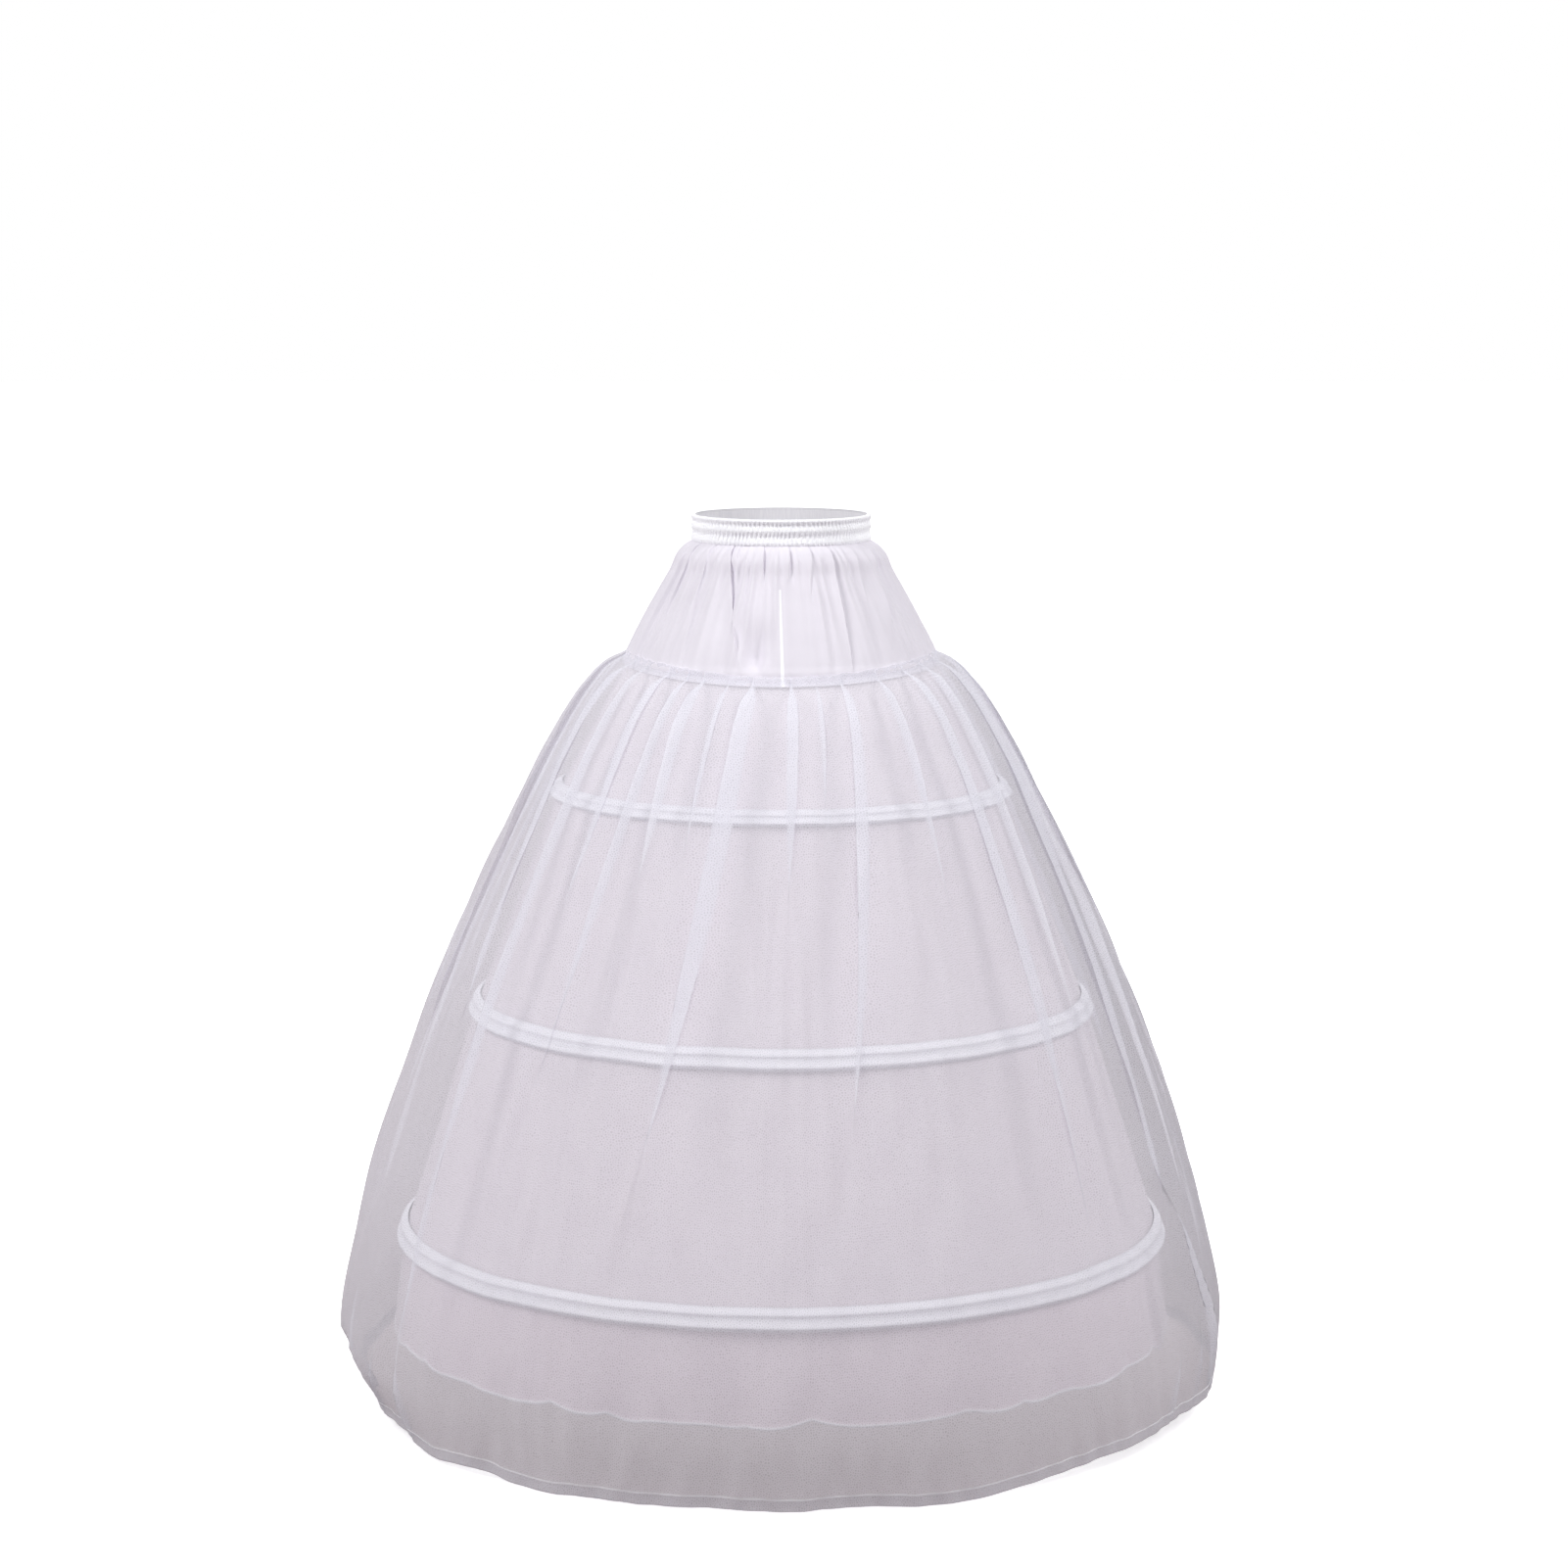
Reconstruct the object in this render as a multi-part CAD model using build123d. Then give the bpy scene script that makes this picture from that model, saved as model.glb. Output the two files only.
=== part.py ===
from build123d import *
import os
from math import cos, degrees, hypot, pi, sin

# Hoop petticoat. An elastic waistband carries a gathered hip yoke. Below the hip seam hang a lining of
# three straight tiers with a flounce at its hem, and over it a sheer overskirt that falls in folds.
# Three steel hoops in tape casings hold the lining out.
#
# Millimetres, +Z up. The origin is the centre of the waist opening, half way up the waistband.
# The front of the garment faces -Y, and each hoop is joined at the centre back, on +Y.
# A drop is measured down from the top edge of the waistband.

# Clearances
seat_clearance = 0.3
sleeve_clearance = 0.15
flat_limit = 0.001

# Waistband: a flat elastic ring with a fabric cover turned over its top edge
waist_radius = 100.0
elastic_width = 28.0
elastic_thickness = 1.6
cover_wall = 0.8
cover_ease = 0.2
puff_rise = 2.6
puff_count = 3

# Hip yoke, gathered into the waistband and smooth at the hip seam
yoke_wall = 0.8
yoke_shoulder_drop = 43.0
yoke_shoulder_radius = 122.0
hip_seam_drop = 173.0
hip_seam_radius = 182.0
gather_depth = 8.0
gather_count = 20

# Hoops: flat coated steel strip bent into open rings, given by the radius inside the strip
hoop_width = 7.0
hoop_thickness = 1.4
hoop_end_gap = 2.0
upper_hoop_radius = 265.0
upper_hoop_drop = 325.0
middle_hoop_radius = 363.0
middle_hoop_drop = 580.0
lower_hoop_radius = 451.0
lower_hoop_drop = 850.0

# Sleeve that joins the two ends of a hoop
sleeve_length = 36.0
sleeve_wall = 0.7

# Tape casings, sewn to the lining above and below each hoop
tape_wall = 0.8
upper_tape_width = 18.0
middle_tape_width = 24.0
lower_tape_width = 26.0

# Lining and its flounce
lining_wall = 0.8
flounce_length = 114.0
flounce_flare = 14.0
flounce_wave = 9.0
flounce_wave_count = 20

# Overskirt, gathered onto the yoke just above the hip seam. An ease is how far its crests stand out from
# the lining or hoop at a level, and a fold is how deep its valleys are there. The folds die out to the hem.
tulle_wall = 0.6
overskirt_drop = 1026.0
header_rise = 6.0
header_fold = 10.0
puff_out_drop = 30.0
puff_out_ease = 34.0
puff_out_fold = 16.0
upper_ease = 41.0
upper_fold = 20.0
middle_ease = 59.0
middle_fold = 20.0
lower_ease = 57.0
lower_fold = 14.0
swell_rise = 64.0
swell_ease = 62.0
swell_fold = 9.0
hem_ease = 56.0
hem_fold = 8.0
fold_count = 16

# How the folds wander: whole waves round the waist, each with its swing as a share of a turn
fold_sway_shares = ((2, 0.14), (3, 0.09), (5, 0.05))

# Corners round a plain fabric ring, and on each gather, flounce wave and fold
plain_corner_count = 44
gather_corner_count = 4
wave_corner_count = 4
fold_corner_count = 5

# A plain ring drawn this much larger clears a round one inside it
round_share = 1 / cos(pi / plain_corner_count)

waistband_height = elastic_width + 2 * (cover_wall + cover_ease)
waist_top = waistband_height / 2
hip_seam_height = waist_top - hip_seam_drop


def plain_outline(corners=plain_corner_count):
    """Corners of an even ring, each an angle and a share of the ring's radius."""
    return [(2 * pi * i / corners, 1.0) for i in range(corners)]


def wavy_outline(waves, corners, depth_share, sway_shares=()):
    """Corners of a waved ring: crests reach the full radius, and valleys lie depth_share of it inside."""
    outline = []
    for i in range(waves * corners):
        angle = 2 * pi * i / (waves * corners)
        swing = sum(2 * pi * share * sin(turns * angle) for turns, share in sway_shares)
        outline.append((angle, 1.0 - depth_share * (1.0 - cos(waves * angle + swing)) / 2))
    return outline


def ring(outline, radius, height):
    """The points of an outline at one radius and height."""
    return [(radius * share * cos(angle), radius * share * sin(angle), height) for angle, share in outline]


def panel(a, b, c, d):
    """A flat panel on four corners, or two triangles where the cloth twists."""
    across, along, last = Vector(b) - Vector(a), Vector(c) - Vector(a), Vector(d) - Vector(a)
    if abs(across.cross(along).normalized().dot(last)) < flat_limit:
        return [Face(Wire.make_polygon([a, b, c, d]))]
    return [Face(Wire.make_polygon([a, b, c])), Face(Wire.make_polygon([a, c, d]))]


def cloth(rings):
    """A closed wall of cloth panelled between rings, which run down its outside and up its inside.

    A twisted panel is split along the same diagonal on both sides, so that the wall keeps its thickness.
    """
    panels = []
    for ring_a, ring_b in zip(rings, rings[1:] + rings[:1]):
        climbs = ring_b[0][2] > ring_a[0][2]
        for i in range(len(ring_a)):
            if climbs:
                panels += panel(ring_b[i], ring_a[i], ring_a[i - 1], ring_b[i - 1])
            else:
                panels += panel(ring_b[i - 1], ring_b[i], ring_a[i], ring_a[i - 1])
    return Solid(Shell(panels))


def sheet(stations, wall):
    """A cloth wall through stations of outline, radius and height, listed from the top."""
    outside = [ring(*station) for station in stations]
    inside = [ring(outline, radius - wall, height) for outline, radius, height in stations]
    return cloth(outside + inside[::-1])


def strip(inner_radius, thickness, base, width, sweep=360):
    """A flat strip bent round the waist axis, starting on +X."""
    section = Plane.XZ * Pos(inner_radius, base) * Rectangle(thickness, width, align=Align.MIN)
    return revolve(section, Axis.Z, sweep)


def line_radius(high, low, height):
    """Radius of a straight wall at a height, between two points of radius and height."""
    run = (high[1] - height) / (high[1] - low[1])
    return high[0] + run * (low[0] - high[0])


class Hoop:
    """One hoop with its joining sleeve, and the room that they need between lining and tape."""

    def __init__(self, radius, drop, tape_width):
        self.radius = radius
        self.base = waist_top - drop
        self.tape_width = tape_width
        self.bow = sleeve_length**2 / (8 * radius)
        self.room = sleeve_clearance + sleeve_wall
        self.joint = self.base - self.room
        self.lining_radius = radius - self.bow - self.room - seat_clearance
        self.tape_radius = hypot(radius + hoop_thickness + self.room, sleeve_length / 2) + seat_clearance
        self.lining_point = (self.lining_radius, self.joint)

    def strip(self):
        """The open ring, with its gap at the centre back."""
        gap = degrees(hoop_end_gap / self.radius)
        turn = strip(self.radius, hoop_thickness, self.base, hoop_width, 360 - gap)
        return Rot(Z=90 + gap / 2) * turn

    def sleeve(self):
        """The straight sleeve over both ends of the strip."""
        depth = hoop_thickness + self.bow + 2 * sleeve_clearance
        height = hoop_width + 2 * sleeve_clearance
        outer = Box(sleeve_length, depth + 2 * sleeve_wall, height + 2 * sleeve_wall)
        middle = self.radius - self.bow - sleeve_clearance + depth / 2
        return Pos(0, middle, self.base + hoop_width / 2) * (outer - Box(sleeve_length, depth, height))

    def casing(self, above, below, fit_share):
        """The tape, flat in front of the hoop and sloped to the lining at both edges.

        above and below are the ends of the lining's walls over and under the hoop, and fit_share is how
        much larger than the lower wall the tape is drawn there.
        """
        outline = plain_outline()
        front = self.tape_radius * round_share
        front_top = self.base + hoop_width + self.room + seat_clearance
        front_base = self.joint - seat_clearance
        edge = (self.tape_width - front_top + front_base) / 2
        top, base = front_top + edge, front_base - edge
        profile = [
            (line_radius(*above, top), top),
            (front + tape_wall, front_top),
            (front + tape_wall, front_base),
            (line_radius(*below, base) * fit_share, base),
            (front, front_base),
            (front, front_top),
        ]
        return cloth([ring(outline, radius, height) for radius, height in profile])


def make_waistband():
    """The elastic ring and its shirred cover."""
    elastic = strip(waist_radius, elastic_thickness, -elastic_width / 2, elastic_width)
    inner = (waist_radius + elastic_thickness + seat_clearance) * round_share
    valley = inner + cover_wall
    rise = waistband_height / (2 * puff_count)
    profile = [(waist_radius + seat_clearance, waist_top - cover_wall), (waist_radius + seat_clearance, waist_top)]
    for i in range(2 * puff_count + 1):
        profile.append((valley + puff_rise * (i % 2), waist_top - i * rise))
    profile += [(inner, -waist_top), (inner, waist_top - cover_wall)]
    cover = cloth([ring(plain_outline(), radius, height) for radius, height in profile])
    return elastic, cover, valley


def make_yoke(top_radius):
    """The gathered yoke between the waistband's lower edge and the hip seam."""
    smooth = plain_outline(gather_count * gather_corner_count)
    gathers = wavy_outline(gather_count, gather_corner_count, gather_depth / yoke_shoulder_radius)
    stations = [
        (smooth, top_radius, -waist_top),
        (gathers, yoke_shoulder_radius, waist_top - yoke_shoulder_drop),
        (smooth, hip_seam_radius, hip_seam_height),
    ]
    return sheet(stations, yoke_wall)


def make_flounce(top):
    """The lining's free end below a point of radius and height, waved at its hem."""
    smooth = plain_outline(flounce_wave_count * wave_corner_count)
    hem_radius = top[0] + flounce_flare
    waves = wavy_outline(flounce_wave_count, wave_corner_count, flounce_wave / hem_radius)
    hem = (hem_radius, top[1] - flounce_length)
    return sheet([(smooth, *top), (waves, *hem)], lining_wall), hem


def make_overskirt(hoops):
    """The folded overskirt, held on the yoke above the hip seam and eased out past each hoop."""
    upper, middle, lower = hoops
    header = hip_seam_height + header_rise
    shoulder = (yoke_shoulder_radius, waist_top - yoke_shoulder_drop)
    seat = line_radius(shoulder, (hip_seam_radius, hip_seam_height), header) + seat_clearance + tulle_wall
    puff_out = hip_seam_height - puff_out_drop
    hem = waist_top - overskirt_drop
    hip_point = (hip_seam_radius, hip_seam_height)
    stations = [
        (header_fold, seat + header_fold, header),
        (puff_out_fold, line_radius(hip_point, upper.lining_point, puff_out) + puff_out_ease, puff_out),
        (upper_fold, upper.radius + upper_ease, upper.base),
        (middle_fold, middle.radius + middle_ease, middle.base),
        (lower_fold, lower.radius + lower_ease, lower.base),
        (swell_fold, lower.radius + flounce_flare + swell_ease, hem + swell_rise),
        (hem_fold, lower.radius + flounce_flare + hem_ease, hem),
    ]
    folds = [
        (wavy_outline(fold_count, fold_corner_count, fold / radius, fold_sway_shares), radius, height)
        for fold, radius, height in stations
    ]
    return sheet(folds, tulle_wall)


hoops = (
    Hoop(upper_hoop_radius, upper_hoop_drop, upper_tape_width),
    Hoop(middle_hoop_radius, middle_hoop_drop, middle_tape_width),
    Hoop(lower_hoop_radius, lower_hoop_drop, lower_tape_width),
)
elastic, cover, band_radius = make_waistband()
flounce, flounce_hem = make_flounce(hoops[-1].lining_point)
nodes = {
    "waistband_cover": cover,
    "waist_elastic": elastic,
    "hip_yoke": make_yoke(band_radius),
    "hem_flounce": flounce,
    "overskirt": make_overskirt(hoops),
}

lining_points = [(hip_seam_radius, hip_seam_height)] + [hoop.lining_point for hoop in hoops] + [flounce_hem]
for name, hoop, start, joint, end in zip(
    ("upper", "middle", "lower"), hoops, lining_points, lining_points[1:], lining_points[2:]
):
    fit_share = round_share if end is flounce_hem else 1.0
    nodes["lining_tier_" + name] = sheet([(plain_outline(), *start), (plain_outline(), *joint)], lining_wall)
    nodes["hoop_" + name] = hoop.strip()
    nodes["hoop_connector_" + name] = hoop.sleeve()
    nodes["hoop_casing_" + name] = hoop.casing((start, joint), (joint, end), fit_share)

os.makedirs("parts", exist_ok=True)
for name, solid in nodes.items():
    export_step(solid, "parts/" + name + ".step")
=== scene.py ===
"""White hoop petticoat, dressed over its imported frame.

Every cloth piece starts as a flat grid, is hung on the rings of the solid that it stands for, and gets a
woven finish. The hoops, their joining sleeves and the waist elastic keep their shape and take a finish.
Metres, +Z up. The front of the garment faces -Y, and an azimuth is counted from the front towards +X.
"""

from __future__ import annotations

import logging
from dataclasses import dataclass, field
from enum import Enum
from math import pi, radians
from typing import Any

import bpy
import numpy as np
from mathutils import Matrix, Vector


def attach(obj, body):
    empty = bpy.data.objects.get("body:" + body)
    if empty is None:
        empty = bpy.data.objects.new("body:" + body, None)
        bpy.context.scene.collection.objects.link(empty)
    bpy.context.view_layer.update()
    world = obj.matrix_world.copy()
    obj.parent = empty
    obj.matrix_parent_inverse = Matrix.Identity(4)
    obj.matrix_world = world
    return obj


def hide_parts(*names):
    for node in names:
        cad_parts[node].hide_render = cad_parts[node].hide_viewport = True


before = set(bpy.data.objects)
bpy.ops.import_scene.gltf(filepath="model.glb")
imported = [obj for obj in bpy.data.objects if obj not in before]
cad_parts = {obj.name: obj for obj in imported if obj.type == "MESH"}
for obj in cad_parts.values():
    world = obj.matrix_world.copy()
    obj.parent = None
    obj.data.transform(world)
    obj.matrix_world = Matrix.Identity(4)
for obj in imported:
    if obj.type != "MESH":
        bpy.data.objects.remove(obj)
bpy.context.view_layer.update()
MM = 0.001
BAKE_MAP = "OFBake"
CLOTH_MAP = "cloth"
SEAM_MERGE = 1e-6
# The wave texture runs through 20 radians per unit at a scale of one
WAVE_RADIANS = 20
# Brings the steepest lean of a pleat to about one
LEAN_PEAK = 1.65
WHITE = (1.0, 1.0, 1.0, 1.0)

# Two sizes, a least and a most, or where a change starts and ends
Pair = tuple[float, float]
# Places along a run, each with a value
Knots = tuple[tuple[float, float], ...]
# Values along x, y and z
Triple = tuple[float, float, float]
# Size, number of turns round the waist and start of each of a few slow swings
Swings = tuple[tuple[float, int, float], ...]

log = logging.getLogger("petticoat")


class Hold(Enum):
    """How a sheet is held."""

    GATHERED = "gathered"
    STRETCHED = "stretched"
    HUNG = "hung"


class Turn(Enum):
    """Which way the free edge of a pleat faces, seen from outside."""

    LEFT = -1.0
    RIGHT = 1.0


# Colours and nodes


def linear(code: str) -> tuple[float, float, float, float]:
    """Turn an sRGB hex colour into linear light.

    Args:
        code: Six hex digits after a hash sign.

    Returns:
        Red, green, blue and an alpha of one.
    """
    parts = [int(code[i : i + 2], 16) / 255 for i in (1, 3, 5)]
    red, green, blue = (p / 12.92 if p <= 0.04045 else ((p + 0.055) / 1.055) ** 2.4 for p in parts)
    return red, green, blue, 1.0


def feed(tree: bpy.types.NodeTree, node: bpy.types.Node, feeds: dict[Any, Any]) -> None:
    """Set or link the sockets of a node.

    Args:
        tree: The node tree of a material or of the world.
        node: The node.
        feeds: Socket names or numbers, each with a value or with the socket that feeds it.
    """
    for socket, value in feeds.items():
        if isinstance(value, bpy.types.NodeSocket):
            tree.links.new(value, node.inputs[socket])
        else:
            node.inputs[socket].default_value = value


def add_node(
    tree: bpy.types.NodeTree, kind: str, feeds: dict[Any, Any], out: str | int = 0, **options: Any
) -> bpy.types.NodeSocket:
    """Add a shader node with its options, and set or link its sockets.

    Args:
        tree: The node tree of a material or of the world.
        kind: The node's type name, after the words that all shader nodes share.
        feeds: Socket names or numbers, each with a value or with the socket that feeds it.
        out: Name or number of the output that is wanted.
        options: Settings of the node itself.

    Returns:
        The output.
    """
    node = tree.nodes.new("ShaderNode" + kind)
    for option, value in options.items():
        setattr(node, option, value)
    feed(tree, node, feeds)
    return node.outputs[out]


# Finishes


def new_material(name: str) -> tuple[bpy.types.Material, bpy.types.NodeTree, bpy.types.Node]:
    """Start a material with its plain shader.

    Args:
        name: The material's name.

    Returns:
        The material, its node tree and its shader.
    """
    material = bpy.data.materials.new(name)
    material.use_nodes = True
    tree = material.node_tree
    return material, tree, tree.nodes["Principled BSDF"]


@dataclass(frozen=True)
class WovenFinish:
    """A woven fabric with a warp and weft that catch the light, on the cloth's own flat map."""

    name: str
    colour: str
    shade: str
    thread: float = 1.2
    roughness: float = 0.62
    sheen: float = 0.25
    relief: float = 0.05
    crease: float = 0.12
    thread_height: float = 0.3 * MM
    crease_height: float = 2.0 * MM
    clouds_per_metre: float = 26.0
    cloud_range: Pair = (0.3, 0.7)
    gloss_swing: float = 0.08
    sheen_roughness: float = 0.45
    ior: float = 1.46

    def material(self) -> bpy.types.Material:
        """Make the material, once for all the pieces that wear it.

        Returns:
            The material of this finish.
        """
        if self.name in bpy.data.materials:
            return bpy.data.materials[self.name]
        material, tree, shader = new_material(self.name)
        flat = add_node(tree, "UVMap", {}, uv_map=CLOTH_MAP)
        per_metre = pi / (self.thread * MM) / WAVE_RADIANS
        threads = {"Vector": flat, "Scale": per_metre, "Distortion": 0.4, "Detail": 1.0}
        weft, warp = (add_node(tree, "TexWave", threads, "Fac", bands_direction=way) for way in ("X", "Y"))
        weave = add_node(tree, "Math", {0: weft, 1: warp}, operation="MULTIPLY")
        clouds = {"Vector": flat, "Scale": self.clouds_per_metre, "Detail": 4.0}
        cloud = add_node(tree, "TexNoise", clouds, "Fac")
        uneven = add_node(tree, "MapRange", {0: cloud, 1: self.cloud_range[0], 2: self.cloud_range[1]})
        tints = {0: uneven, 6: linear(self.shade), 7: linear(self.colour)}
        tint = add_node(tree, "Mix", tints, 2, data_type="RGBA")
        least, most = self.roughness - self.gloss_swing, self.roughness + self.gloss_swing
        gloss = add_node(tree, "MapRange", {0: weave, 3: most, 4: least})
        creased = {"Height": cloud, "Strength": self.crease, "Distance": self.crease_height}
        soft = add_node(tree, "Bump", creased)
        raised = {"Height": weave, "Strength": self.relief, "Distance": self.thread_height, "Normal": soft}
        relief = add_node(tree, "Bump", raised)
        feed(tree, shader, {"Base Color": tint, "Roughness": gloss, "Normal": relief, "IOR": self.ior})
        feed(tree, shader, {"Sheen Weight": self.sheen, "Sheen Roughness": self.sheen_roughness})
        return material


@dataclass(frozen=True)
class NetFinish:
    """A sheer net: threads with holes between them, denser towards its gathers and unevenly white."""

    name: str
    colour: str
    shade: str
    mesh: float = 2.8
    thread_alpha: float = 0.5
    hole_alpha: float = 0.31
    gather_alpha: float = 0.08
    through_share: float = 0.28
    gather_run: Pair = (0.45, 0.95)
    thread_edge: Pair = (0.05, 0.4)
    clouds_per_metre: float = 20.0
    roughness: float = 0.7
    specular: float = 0.25
    ior: float = 1.53

    def material(self) -> bpy.types.Material:
        """Make the material of the net.

        Returns:
            The material, see-through between its threads.
        """
        material, tree, shader = new_material(self.name)
        flat = add_node(tree, "UVMap", {}, uv_map=CLOTH_MAP)
        mesh = {"Vector": flat, "Scale": 1 / (self.mesh * MM), "Randomness": 1.0}
        shape = {"voronoi_dimensions": "2D", "feature": "DISTANCE_TO_EDGE"}
        cells = add_node(tree, "TexVoronoi", mesh, "Distance", **shape)
        inner, outer = self.thread_edge
        threads = {0: cells, 1: inner, 2: outer, 3: self.thread_alpha, 4: self.hole_alpha}
        cover = add_node(tree, "MapRange", threads)
        rise = add_node(tree, "SeparateXYZ", {0: flat}, "Y")
        gathers = {0: rise, 1: self.gather_run[0], 2: self.gather_run[1], 4: self.gather_alpha}
        gather = add_node(tree, "MapRange", gathers)
        alpha = add_node(tree, "Math", {0: cover, 1: gather}, operation="ADD", use_clamp=True)
        clouds = {"Vector": flat, "Scale": self.clouds_per_metre, "Detail": 3.0}
        cloud = add_node(tree, "TexNoise", clouds, "Fac")
        tints = {0: cloud, 6: linear(self.shade), 7: linear(self.colour)}
        tint = add_node(tree, "Mix", tints, 2, data_type="RGBA")
        feed(tree, shader, {"Base Color": tint, "Roughness": self.roughness, "IOR": self.ior})
        feed(tree, shader, {"Specular IOR Level": self.specular})
        through = add_node(tree, "BsdfTranslucent", {"Color": tint})
        thread = add_node(tree, "MixShader", {0: self.through_share, 1: shader.outputs[0], 2: through})
        holes = add_node(tree, "BsdfTransparent", {})
        net = add_node(tree, "MixShader", {0: alpha, 1: holes, 2: thread})
        feed(tree, tree.nodes["Material Output"], {"Surface": net})
        return material


@dataclass(frozen=True)
class HardFinish:
    """A lacquered, moulded or woven finish on a piece that keeps its solid, on Object coordinates."""

    name: str
    colour: str
    shade: str
    grain: float
    roughness: float
    stretch: Triple = (1.0, 1.0, 1.0)
    relief: float = 0.1
    grain_height: float = 0.3 * MM
    gloss_swing: float = 0.06
    ior: float = 1.5
    transmission: float = 0.0

    def material(self) -> bpy.types.Material:
        """Make the material of the finish.

        Returns:
            The material.
        """
        material, tree, shader = new_material(self.name)
        place = add_node(tree, "TexCoord", {}, "Object")
        drawn = add_node(tree, "Mapping", {"Vector": place, "Scale": self.stretch})
        grains = {"Vector": drawn, "Scale": 1 / (self.grain * MM), "Detail": 3.0}
        grain = add_node(tree, "TexNoise", grains, "Fac")
        tints = {0: grain, 6: linear(self.shade), 7: linear(self.colour)}
        tint = add_node(tree, "Mix", tints, 2, data_type="RGBA")
        least, most = self.roughness - self.gloss_swing, self.roughness + self.gloss_swing
        gloss = add_node(tree, "MapRange", {0: grain, 3: least, 4: most})
        raised = {"Height": grain, "Strength": self.relief, "Distance": self.grain_height}
        relief = add_node(tree, "Bump", raised)
        feed(tree, shader, {"Base Color": tint, "Roughness": gloss, "Normal": relief, "IOR": self.ior})
        feed(tree, shader, {"Transmission Weight": self.transmission})
        return material


# Polyester satin shirred over elastic: the brightest white, with a soft gloss on each puff. Its threads are
# about 0.1 mm and are drawn at 0.9 mm, or they would not show.
SATIN = WovenFinish(
    "polyester_satin", "#fcfcff", "#f8f8fd", thread=0.9, roughness=0.6, sheen=0.2, crease=0.1
)
# Polyester taffeta: a crisp plain weave, cool white, with small creases. Threads of 0.15 mm drawn at 1.2 mm.
TAFFETA = WovenFinish("polyester_taffeta", "#e6e2eb", "#e1dde6", thread=1.2, roughness=0.82, sheen=0.1)
# Lining taffeta of a softer hand: a faintly pink white. Threads of 0.15 mm drawn at 1.2 mm.
LINING = WovenFinish(
    "polyester_lining", "#eae2e8", "#e4dbe2", thread=1.2, roughness=0.8, sheen=0.25, relief=0.02
)
# The same lining in a single layer, at the free end, with more sheen. Its colour is painted lighter and
# pinker than the tiers': painted light, for the pink light thrown up from the floor.
LINING_PAINTED_LIGHTER = WovenFinish(
    "polyester_lining_painted_lighter", "#efe3ea", "#e8dbe3", thread=1.2, roughness=0.8, sheen=0.9, relief=0.02
)
# Cotton twill tape: a matt, close band with a coarser thread, 0.4 mm, drawn at 1.4 mm.
TAPE = WovenFinish(
    "cotton_twill_tape", "#f8f8fd", "#f1f1f8", thread=1.4, roughness=0.72, sheen=0.15, relief=0.12, crease=0.2
)
# Nylon tulle: a sheer six-sided net with holes of about 1.2 mm, drawn at 2.8 mm so that its grain shows.
TULLE = NetFinish("nylon_tulle", "#fafaff", "#f4f4fb")
# Woven elastic: white webbing with ribs along its height, 1.5 mm apart.
WEBBING = HardFinish(
    "woven_elastic", "#f2f1f4", "#dddbe2", grain=1.5, roughness=0.75, stretch=(1.0, 1.0, 0.1)
)
# Spring steel strip in white lacquer: a low gloss with a faint orange peel of 2 mm.
STEEL = HardFinish("lacquered_spring_steel", "#f4f4f5", "#e8e8ea", grain=2.0, roughness=0.32, relief=0.05)
# Clear vinyl sleeve: slightly milky, with smears of 4 mm from the extruder.
VINYL = HardFinish(
    "clear_vinyl", "#f1f4f6", "#e4e9ec", grain=4.0, roughness=0.22, relief=0.04, ior=1.53, transmission=0.7
)


# Cloth shapes


@dataclass(frozen=True)
class Crinkle:
    """Seeded small unevenness of hung cloth, the same on every run and closed round the waist."""

    seed: int
    turns: tuple[int, int]
    runs: Pair
    count: int = 14
    peak: float = 1.6

    def at(self, azimuth: np.ndarray, height: np.ndarray) -> np.ndarray:
        """Work out the unevenness.

        Args:
            azimuth: Angles round the waist.
            height: Heights in metres.

        Returns:
            Values mostly between -1 and 1.
        """
        draw = np.random.default_rng(self.seed)
        total = np.zeros_like(azimuth)
        for _ in range(self.count):
            turns = int(draw.integers(self.turns[0], self.turns[1] + 1))
            run = draw.uniform(*self.runs) * draw.choice((-1.0, 1.0))
            total += np.sin(turns * azimuth + 2 * pi * run * height + draw.uniform(0, 2 * pi))
        return total / np.sqrt(self.count / 2) / self.peak


@dataclass(frozen=True)
class Pleat:
    """A fold that laps over itself. Angles in degrees, at its top and where it dies out."""

    top: float
    low: float
    half_width: float
    lap: float
    reach: float
    turn: Turn = Turn.LEFT
    stand: float = 1.6 * MM
    rises: bool = False
    opens_in: float = 0.04
    open_at_edge: float = 0.35
    widens: float = 0.35

    def shift(self, azimuth: np.ndarray, fall: np.ndarray) -> tuple[np.ndarray, np.ndarray]:
        """Work out how far the pleat moves the cloth.

        Args:
            azimuth: Angles round the waist before the pleat is laid.
            fall: Share of the way down the cloth, nought at the top.

        Returns:
            The change of angle, and the change of radius in metres.
        """
        run = 1.0 - fall if self.rises else fall
        along = np.clip(run / self.reach, 0.0, 1.0)
        fade = (1.0 - along**2) * np.clip(run / self.opens_in + self.open_at_edge, 0.0, 1.0)
        middle = radians(self.top) + (radians(self.low) - radians(self.top)) * along
        width = radians(self.half_width) * (1.0 + self.widens * along)
        across = ((azimuth - middle + pi) % (2 * pi) - pi) / width
        lean = -LEAN_PEAK * across * np.exp(-(across**2) / 2) * fade
        return lean * self.lap * width, lean * self.turn.value * self.stand


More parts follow.
